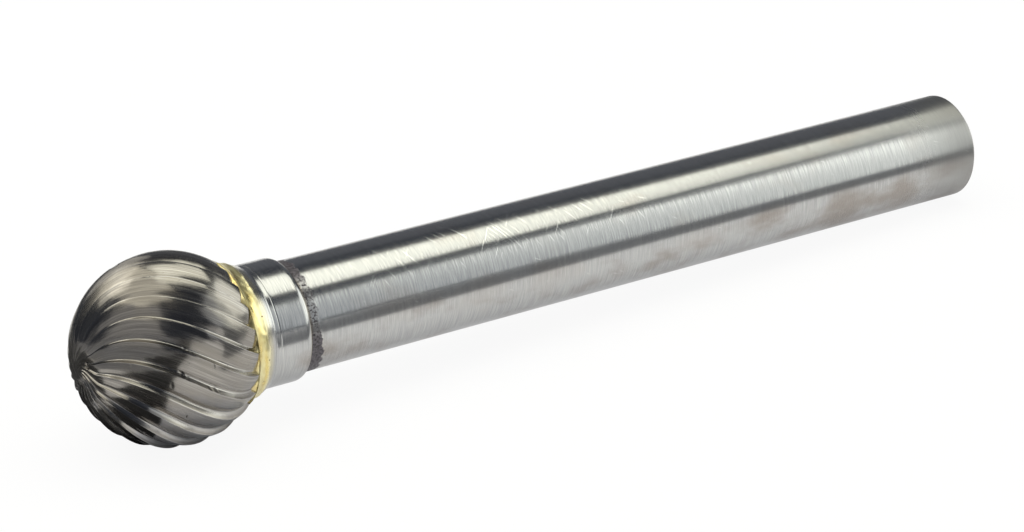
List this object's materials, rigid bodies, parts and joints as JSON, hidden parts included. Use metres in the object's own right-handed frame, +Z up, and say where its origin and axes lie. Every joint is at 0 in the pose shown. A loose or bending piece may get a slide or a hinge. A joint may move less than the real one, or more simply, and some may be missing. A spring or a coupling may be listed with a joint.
{
  "type": "ball-shaped carbide burr",
  "caption": "Carbide burr: a ball head with right-hand helical saw teeth, brazed to a plain round steel shank with a short collar.",
  "frame": {"origin": "centre of the bounding box at floor level, under the tool as it lies", "axes": "+X runs along the floor from the ball to the shank end, +Z is up; the tool lies on two tooth crests and the rim of the shank end, so its own axis falls 2.27 degrees towards the shank end"},
  "size_m": [0.0568, 0.01, 0.0101],
  "materials": {
    "carbide": "fine ground, dark grey",
    "braze": "satin, as brazed",
    "steel": "ground round the axis"
  },
  "bodies": {
    "root": {"carbide_head": "carbide", "braze_joint": "braze", "shank": "steel"}
  },
  "joints": []
}
